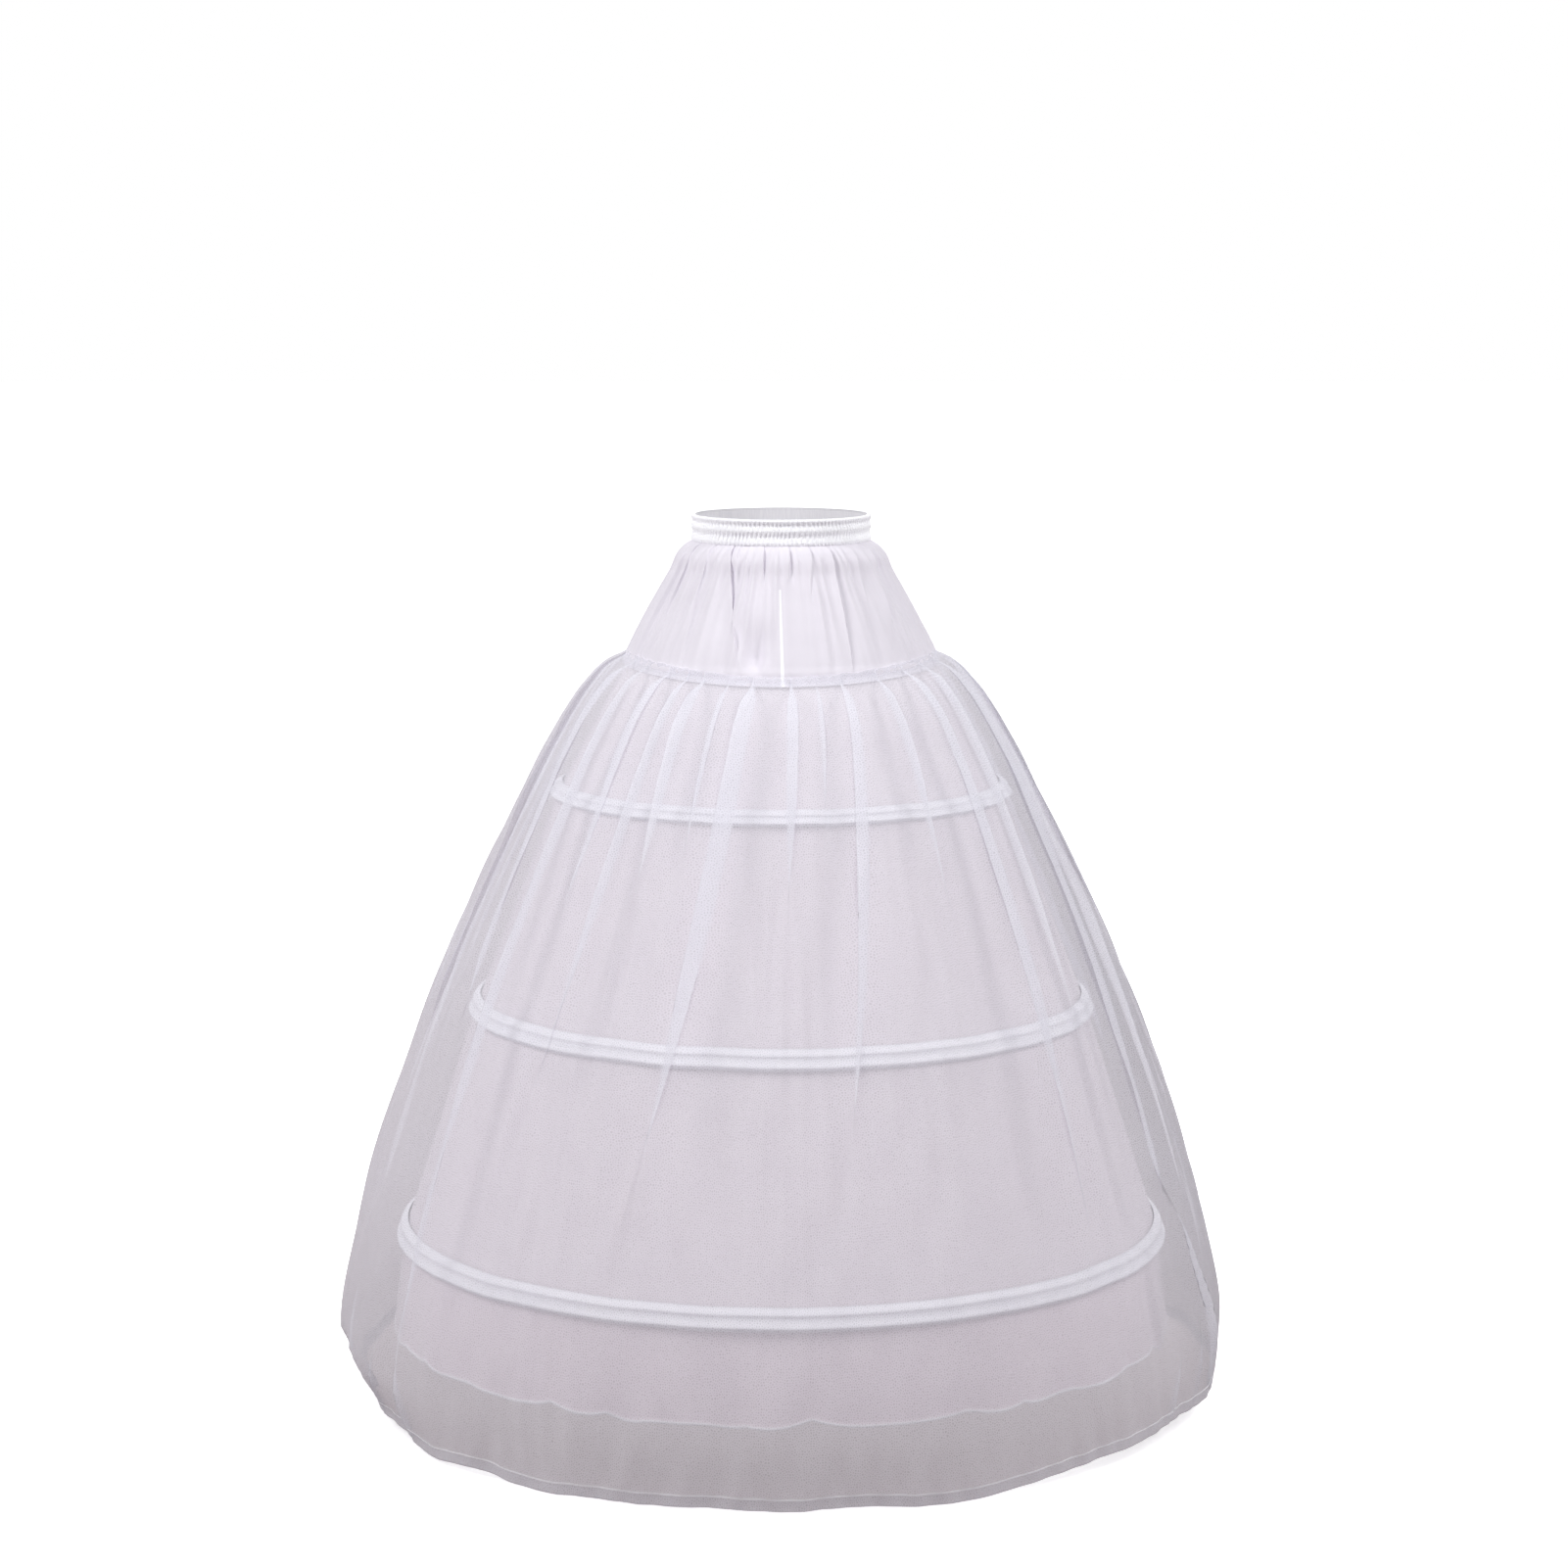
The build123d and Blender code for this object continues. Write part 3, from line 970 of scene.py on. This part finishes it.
@dataclass
class Overskirt(Cloth):
    """The tulle: a gathered header above the hip seam, pleats that die out downwards, and a turned hem."""

    folds: int = 16
    fold_depths: tuple[float, ...] = (0.0, 0.0, 0.003, 0.007, 0.008, 0.009, 0.009, 0.007, 0.006, 0.006)
    sway: tuple[tuple[int, float], ...] = ((2, 0.14), (3, 0.09), (5, 0.05))
    gathers: int = 92
    gather_depth: float = 2.2 * MM
    gather_swing: float = 1.5
    patches: tuple[float, int, float] = (0.6, 9, 0.3)
    ruffle_shares: Pair = (0.6, 0.5)
    gather_drops: tuple[float, ...] = (0.022, 0.05, 0.1, 1.0)
    gather_sizes: tuple[float, ...] = (0.6, 0.25, 0.9, 0.45, 0.0, 0.0)
    gather_crumple: Crinkle = Crinkle(83, (40, 110), (0.0, 8.0), 10)
    wander: Swings = ((1.7, 3, 1.1), (1.2, 8, 0.0), (0.9, 13, 0.7))
    crumple: Crinkle = Crinkle(61, (14, 60), (1.0, 7.0))
    crumple_depth: float = 1.0 * MM
    crumple_from: Pair = (0.01, 0.1)
    hem_crumple: Crinkle = Crinkle(67, (40, 120), (3.0, 16.0), 18)
    hem_crumple_depth: float = 0.8 * MM
    hem_crumple_from: Pair = (0.86, 0.97)
    hem_sway: Crinkle = Crinkle(71, (4, 22), (0.0, 0.1))
    hem_sway_depth: float = 2.0 * MM
    hem_from: float = 0.8
    hem_width: float = 14.0 * MM
    hem_gap: float = 1.2 * MM
    hem_gap_opens: float = 0.2
    stitched_at: float = 0.968
    hem_dip: float = 14.0 * MM
    # Azimuths in degrees, each with the hem's lift in millimetres
    hem_line: Knots = (
        (-180.0, 0.0), (-115.0, 18.0), (-90.0, 21.0), (-65.0, 16.0), (-52.0, 6.4),
        (-32.0, 1.7), (0.0, 0.0), (15.0, 1.0), (31.0, 3.4), (50.0, 19.0),
        (65.0, 20.0), (90.0, 22.0), (115.0, 18.0), (180.0, 0.0),
    )
    tuck: float = 25.0 * MM
    tuck_at: float = -80.0
    tuck_half: float = 24.0
    tuck_from: float = 0.935
    header_ragged: float = 0.7 * MM
    ragged_fine: int = 31
    ragged_fine_share: float = 0.7
    ragged_side: float = 0.2
    ragged_swings: Pair = (2.0, 3.0)
    header_lift: float = 3.0 * MM
    header_flare: float = -3.0 * MM
    side_flare: float = 2.0 * MM
    side_press: float = 8.0 * MM
    side_lift: float = 13.5 * MM
    lift_fades: Pair = (0.012, 0.06)
    front_dip: float = 8.0 * MM
    yoke_slope: float = 0.45
    slope_fades: Pair = (0.012, 0.05)
    seam_drop: float = 7.5 * MM
    seam_gap: float = 8.6 * MM
    puff: float = 20.0 * MM
    puff_at: float = 2.2
    bulge: float = 5.0 * MM
    # Which way, and from the hem upwards or not: angles at the start and the end, half width, lap and reach
    pleats: tuple[Pleat, ...] = tuple(
        Pleat(*sizes, turn, rises=rises)
        for turn, rises, rows in (
            (Turn.LEFT, False, (
                (-80.0, -72.0, 1.5, 1.9, 0.75), (-66.0, -62.0, 1.3, 1.9, 0.55),
                (-55.5, -57.5, 1.2, 2.0, 1.12), (-43.0, -44.0, 1.4, 1.9, 0.34),
                (-34.0, -41.0, 1.2, 1.9, 0.62), (-27.5, -28.5, 1.7, 1.9, 0.3),
                (-18.0, -21.0, 1.0, 1.7, 0.3), (-9.5, -21.5, 2.0, 2.0, 0.7),
                (3.5, 1.0, 1.5, 1.9, 0.32),
            )),
            (Turn.RIGHT, False, (
                (12.0, 9.0, 1.0, 1.6, 0.22), (21.0, 8.5, 1.2, 2.1, 0.64),
                (35.0, 33.0, 1.4, 1.8, 0.32), (48.5, 44.0, 1.3, 2.0, 0.86),
                (60.0, 54.0, 1.4, 1.9, 0.5), (72.0, 63.0, 2.0, 2.0, 0.92),
                (82.0, 71.0, 1.5, 2.0, 0.8),
            )),
            (Turn.LEFT, True, (
                (-76.0, -74.0, 0.9, 1.6, 0.17), (-66.0, -62.0, 0.9, 1.6, 0.13),
                (-55.0, -58.0, 0.8, 1.5, 0.09),
            )),
            (Turn.RIGHT, True, (
                (59.0, 62.0, 0.8, 1.5, 0.11), (67.0, 69.0, 0.9, 1.6, 0.15),
                (76.0, 66.0, 1.2, 2.5, 0.38),
            )),
        )
        for sizes in rows
    )
    back_pleats: SeededPleats = SeededPleats(
        73, 12, (88.0, 278.0), 8.0, (1.8, 3.0), (1.5, 2.0), (0.35, 0.85)
    )
    row_places: tuple[float, ...] = (0.0, 0.14, 0.76, 0.90, 1.0)
    row_falls: tuple[float, ...] = (0.0, 0.05, 0.955, 0.984, 1.0)

    def spaced(self, row: np.ndarray) -> np.ndarray:
        """Put more rows into the header and the hem."""
        return np.interp(row, self.row_places, self.row_falls)

    def stitch_and_highlight_faces(self, centres: np.ndarray) -> np.ndarray:
        """Pick the stitched line at the top of the turned hem.

        Args:
            centres: The middle of each face.

        Returns:
            True for each face of the line.
        """
        row = np.arange(len(centres)) // self.columns
        fall = self.spaced(1.0 - (row + 0.5) / self.rows)
        away = np.abs(fall - self.stitched_at)
        return away == away.min()

    def hang(self, azimuth: np.ndarray, fall: np.ndarray) -> np.ndarray:
        """Place the overskirt's points.

        Args:
            azimuth: Angles round the waist.
            fall: Share of the way down the cloth.

        Returns:
            Angle, radius and height of each point.
        """
        rings = rings_of(self.node)
        length = rings[0].height - rings[-1].height
        turned = self.hem_width / (length + self.hem_width)
        out = np.clip(fall / (1 - turned), 0.0, 1.0)
        back = np.clip((fall - 1 + turned) / turned, 0.0, 1.0)
        drop = length * out - self.hem_width * back
        share = drop / length
        levels = [rings[0].height - r.height for r in rings]
        seat = rings[0].valley + self.seam_gap
        between = (levels[1] + levels[2]) / 2
        knots = [0.0, self.seam_drop, self.puff_at * self.seam_drop, levels[1], between] + levels[2:]
        swelled = (rings[1].crest + rings[2].crest) / 2 + self.bulge
        crests = [seat + self.header_flare, seat, seat + self.puff, rings[1].crest, swelled]
        crest = smooth_run(knots, crests + [r.crest for r in rings[2:]], drop)
        depth = smooth_run(knots, list(self.fold_depths), drop)
        angle = azimuth - pi / 2
        swing = sum(2 * pi * size * np.sin(turns * angle) for turns, size in self.sway)
        wave = 0.5 + 0.5 * np.cos(self.folds * angle + swing)
        radius = crest - depth * (1 - wave) - self.hem_gap * ease(back, 0.0, self.hem_gap_opens)
        # Gathers at the hip seam, and the small unevenness of the net
        wander = swung(azimuth, self.wander)
        even = np.cos(self.gathers * azimuth + self.gather_swing * wander) * patchy(azimuth, *self.patches)
        crumpled = self.gather_crumple.at(azimuth, drop)
        ruffle = self.ruffle_shares[0] * even + self.ruffle_shares[1] * crumpled
        swell = smooth_run([0.0, self.seam_drop, *self.gather_drops], list(self.gather_sizes), drop)
        radius += self.gather_depth * ruffle * swell
        radius += self.crumple_depth * self.crumple.at(azimuth, drop) * ease(drop, *self.crumple_from)
        low = ease(share, *self.hem_crumple_from)
        radius += self.hem_crumple_depth * self.hem_crumple.at(azimuth, drop) * low
        turn = azimuth.copy()
        for pleat in (*self.pleats, *self.back_pleats.drawn()):
            step, stand = pleat.shift(azimuth, share)
            turn += step
            radius += stand
        # The hem's line, and the tuck at its left side
        height = rings[0].height - drop
        hem = ease(share, self.hem_from, 1.0)
        height += hem * self.hem_sway_depth * self.hem_sway.at(azimuth, 0 * azimuth)
        hem_places = [radians(place) for place, _ in self.hem_line]
        line = smooth_run(hem_places, [up * MM for _, up in self.hem_line], azimuth)
        height -= hem * (self.hem_dip - line)
        tuck = np.exp(-(((azimuth - radians(self.tuck_at)) / radians(self.tuck_half)) ** 2))
        radius -= self.tuck * tuck * ease(share, self.tuck_from, 1.0)
        # The header's ragged edge, which rises with the seam at the sides and dips at the front
        top_edge = 1.0 - ease(drop, 0.0, self.seam_drop)
        ragged = np.sin(self.gathers // 2 * azimuth + self.ragged_swings[0] * wander)
        ragged += self.ragged_fine_share * np.sin(self.ragged_fine * azimuth + self.ragged_swings[1] * wander)
        ragged *= self.ragged_side + (1 - self.ragged_side) * np.cos(azimuth) ** 2
        height += top_edge * (self.header_lift + self.header_ragged * ragged)
        height -= top_edge * self.side_press * np.sin(azimuth) ** 4
        radius += top_edge * self.side_flare * np.sin(azimuth) ** 2
        rise = self.side_lift * np.sin(azimuth) ** 2 - self.front_dip * np.cos(azimuth) ** 2
        height += rise * (1.0 - ease(drop, *self.lift_fades))
        radius -= self.yoke_slope * rise * (1.0 - ease(drop, *self.slope_fades))
        return np.stack([turn, radius, height], 1)


# The garment


@dataclass
class Petticoat:
    """The garment: its cloth from the waist down, and the solids that keep their shape."""

    solids: dict[str, HardFinish] = field(
        default_factory=lambda: {
            "waist_elastic": WEBBING,
            "hoop_upper": STEEL,
            "hoop_middle": STEEL,
            "hoop_lower": STEEL,
            "hoop_connector_upper": VINYL,
            "hoop_connector_middle": VINYL,
            "hoop_connector_lower": VINYL,
        }
    )

    def cloths(self) -> list[Cloth]:
        """List the sheets in the order that they are sewn.

        Returns:
            The sheets, each with the flat size that it is cut to.
        """
        waist = WaistbandCover(
            "waistband_shirring", "waistband_cover", "band_fabric", SATIN, flat=(0.98, 0.036), area=0.0352,
            hold=Hold.GATHERED, rests_on=("waist_elastic",), columns=1500, rows=40,
        )
        # The yoke's centre seam takes the satin white as a painted highlight
        yoke = HipYoke(
            "hip_yoke_cloth", "hip_yoke", "yoke_fabric", TAFFETA, flat=(1.16, 0.158), area=0.183,
            hold=Hold.GATHERED, rests_on=("waistband_shirring",), columns=720, rows=64, stitch_and_highlight=SATIN,
        )
        tiers = [
            LiningTier(
                f"lining_{name}_cloth", f"lining_tier_{name}", "lining_fabric", LINING, flat=flat, area=area,
                hold=Hold.STRETCHED, rests_on=rests_on, columns=320, rows=28, seed=seed,
            )
            for name, flat, area, rests_on, seed in (
                ("upper", (1.66, 0.175), 0.245, ("hip_yoke_cloth", "hoop_upper"), 11),
                ("middle", (2.28, 0.274), 0.537, ("hoop_upper", "hoop_middle"), 12),
                ("lower", (2.83, 0.285), 0.725, ("hoop_middle", "hoop_lower"), 13),
            )
        ]
        casings = [
            HoopCasing(
                f"casing_{name}_tape", f"hoop_casing_{name}", "casing_tape", TAPE, flat=flat,
                area=flat[0] * flat[1], hold=Hold.STRETCHED, columns=720, rows=18, seed=seed,
                rests_on=(f"hoop_{name}", f"lining_{name}_cloth"),
            )
            for name, flat, seed in (
                ("upper", (1.70, 0.030), 21),
                ("middle", (2.32, 0.036), 22),
                ("lower", (2.88, 0.038), 23),
            )
        ]
        # The flounce's rolled hem takes the satin white as a painted highlight
        flounce = HemFlounce(
            "flounce_cloth", "hem_flounce", "lining_fabric", LINING_PAINTED_LIGHTER, flat=(3.0, 0.12), area=0.36,
            hold=Hold.HUNG, rests_on=("hoop_lower",), columns=760, rows=60, stitch_and_highlight=SATIN,
        )
        net = Overskirt(
            "tulle_overskirt", "overskirt", "tulle_net", TULLE, flat=(3.6, 0.95), area=3.42,
            hold=Hold.GATHERED, rests_on=("hip_yoke_cloth",), columns=1100, rows=88, stitch_and_highlight=SATIN,
        )
        return [waist, yoke, *tiers, *casings, flounce, net]

    def build(self) -> None:
        """Hang and dress every sheet, and finish the solids that stay."""
        for cloth in self.cloths():
            piece = cloth.build()
            cloth.dress(piece)
            log.info("%s: %d faces", piece.name, len(piece.data.polygons))
        made = {finish: finish.material() for finish in dict.fromkeys(self.solids.values())}
        for node, finish in self.solids.items():
            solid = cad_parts[node]
            solid.data.materials.clear()
            solid.data.materials.append(made[finish])
            log.info("%s: %s", node, finish.name)


# The studio


@dataclass
class Studio:
    """Floor, light and camera."""

    floor_level: float = -1.028
    floor_size: float = 60.0
    floor_colour: str = "#f6f5f6"
    floor_shade: str = "#81757b"
    # Paint of the floor seen through the net: near-black, so that the floor there is a painted shade
    floor_painted_dark_under_net: str = "#2e2a2c"
    floor_roughness: float = 0.9
    floor_specular: float = 0.1
    floor_white: float = 0.55
    veil_white: float = 0.02
    # Glow of the floor's painted shade under the skirt and through the net, pink through the net
    floor_shady: float = 0.36
    shady_colour: str = "#fff1f7"
    # Radii where the painted shadow round the hem gives way to the added white
    white_from: Pair = (0.5, 0.58)
    # Where the painted shade through the net grows dimmer past the right side, and by how much
    painted_dim_from: Pair = (0.49, 0.6)
    painted_dim_right: float = -0.26
    ambient: float = 0.41
    softbox_powers: tuple[float, ...] = (62.0, 55.0, 34.0)
    softbox_size: float = 1.6
    softbox_places: tuple[Triple, ...] = (
        (-2.22, -1.43, 1.55),
        (2.22, -1.43, 1.55),
        (0.0, 2.7, 1.5),
    )
    softbox_aim: Triple = (0.0, 0.0, -0.35)
    camera_place: Triple = (0.0, -4.7, 0.355)
    camera_dip: float = 7.99
    camera_yaw: float = -0.042
    lens: float = 92.19
    sensor: float = 36.0

    def seen(self, tree: bpy.types.NodeTree) -> bpy.types.NodeSocket:
        """Tell the rays that show the background from those that light the object.

        Args:
            tree: The node tree of the floor or of the world.

        Returns:
            A socket that is one for camera, mirror and see-through rays.
        """
        seen = add_node(tree, "LightPath", {}, "Is Camera Ray")
        for kind in ("Is Glossy Ray", "Is Transmission Ray"):
            other = add_node(tree, "LightPath", {}, kind)
            seen = add_node(tree, "Math", {0: seen, 1: other}, operation="MAXIMUM")
        return seen

    def bare(self, tree: bpy.types.NodeTree) -> bpy.types.NodeSocket:
        """Tell the background that is seen past the garment from what shows through the net.

        Args:
            tree: The node tree of the floor or of the world.

        Returns:
            A socket that is one where no net lies in front.
        """
        depth = add_node(tree, "LightPath", {}, "Transparent Depth")
        return add_node(tree, "Math", {0: depth, 1: 0.5}, operation="LESS_THAN")

    def lay_floor(self) -> None:
        """Lay the pale floor that keeps the shadow, with a painted shade under the skirt and through the net.
        """
        bpy.ops.object.select_all(action="DESELECT")
        bpy.ops.mesh.primitive_plane_add(size=self.floor_size, location=(0.0, 0.0, self.floor_level))
        bpy.ops.object.transform_apply(location=True, rotation=False, scale=False)
        floor = bpy.context.object
        floor.name = floor.data.name = "studio_floor"
        material, tree, shader = new_material("matt_white_paint")
        seen, bare = self.seen(tree), self.bare(tree)
        open_floor = add_node(tree, "Math", {0: seen, 1: bare}, operation="MULTIPLY")
        # Through the net the floor has near-black paint, so that it shows mostly its fixed pink glow below: a
        # painted shade
        paints = {0: bare, 6: linear(self.floor_painted_dark_under_net), 7: linear(self.floor_colour)}
        looked_at = add_node(tree, "Mix", paints, 2, data_type="RGBA")
        paints = {0: seen, 6: linear(self.floor_shade), 7: looked_at}
        paint = add_node(tree, "Mix", paints, 2, data_type="RGBA")
        # The white that is added for the eye starts outside the hem. Under the skirt the floor's real shadow
        # shows, on a painted shade that fades out just past the hem as a painted shadow.
        place = add_node(tree, "TexCoord", {}, "Object")
        level = add_node(tree, "VectorMath", {0: place, 1: (1.0, 1.0, 0.0)}, operation="MULTIPLY")
        reach = add_node(tree, "VectorMath", {0: level}, "Value", operation="LENGTH")
        outside = add_node(tree, "MapRange", {0: reach, 1: self.white_from[0], 2: self.white_from[1]})
        white = add_node(tree, "MapRange", {0: bare, 3: self.veil_white, 4: self.floor_white})
        past = add_node(tree, "Math", {0: white, 1: outside}, operation="MULTIPLY")
        even = add_node(tree, "Math", {0: past, 1: self.floor_shady}, operation="ADD")
        # A painted shade: through the net the floor is dimmer past the right side of the skirt
        across = add_node(tree, "SeparateXYZ", {0: place}, "X")
        painted_dims = {0: across, 1: self.painted_dim_from[0], 2: self.painted_dim_from[1], 4: self.painted_dim_right}
        painted_dim = add_node(tree, "MapRange", painted_dims)
        veiled = add_node(tree, "Math", {0: 1.0, 1: bare}, operation="SUBTRACT")
        shown = add_node(tree, "Math", {0: veiled, 1: painted_dim, 2: even}, operation="MULTIPLY_ADD")
        glow = add_node(tree, "Math", {0: seen, 1: shown}, operation="MULTIPLY")
        tints = {0: open_floor, 6: linear(self.shady_colour), 7: WHITE}
        tint = add_node(tree, "Mix", tints, 2, data_type="RGBA")
        feed(tree, shader, {"Base Color": paint, "Roughness": self.floor_roughness})
        feed(tree, shader, {"Specular IOR Level": self.floor_specular})
        feed(tree, shader, {"Emission Color": tint, "Emission Strength": glow})
        floor.data.materials.append(material)

    def light(self) -> None:
        """Set a softbox on each side of the camera and one behind, and the even light of the room."""
        for place, power in zip(self.softbox_places, self.softbox_powers):
            bpy.ops.object.select_all(action="DESELECT")
            bpy.ops.object.light_add(type="AREA", location=place)
            softbox = bpy.context.object
            softbox.name = "softbox"
            softbox.data.shape = "DISK"
            softbox.data.size = self.softbox_size
            softbox.data.energy = power
            towards = Vector(self.softbox_aim) - softbox.location
            softbox.rotation_euler = towards.to_track_quat("-Z", "Y").to_euler()
        world = bpy.data.worlds.new("studio_room")
        bpy.context.scene.world = world
        world.use_nodes = True
        tree = world.node_tree
        past = add_node(tree, "Math", {0: self.seen(tree), 1: self.bare(tree)}, operation="MULTIPLY")
        level = add_node(tree, "MapRange", {0: past, 3: self.ambient})
        feed(tree, tree.nodes["Background"], {"Color": WHITE, "Strength": level})

    def place_camera(self) -> None:
        """Set the camera where the photograph was taken from."""
        bpy.ops.object.camera_add(
            location=self.camera_place,
            rotation=(radians(90 - self.camera_dip), 0.0, radians(self.camera_yaw)),
        )
        camera = bpy.context.object
        camera.name = "photo_camera"
        camera.data.lens = self.lens
        camera.data.sensor_width = self.sensor
        camera.data.sensor_fit = "HORIZONTAL"
        bpy.context.scene.camera = camera

    def build(self) -> None:
        """Set up the floor, the light and the camera."""
        self.place_camera()
        self.lay_floor()
        self.light()
        bpy.context.scene.view_settings.view_transform = "Standard"
        log.info("studio: floor at %.3f m", self.floor_level)


def main() -> None:
    """Build the studio and the garment."""
    logging.basicConfig(level=logging.INFO, format="%(name)s %(message)s")
    Studio().build()
    Petticoat().build()


if __name__ == "__main__":
    main()
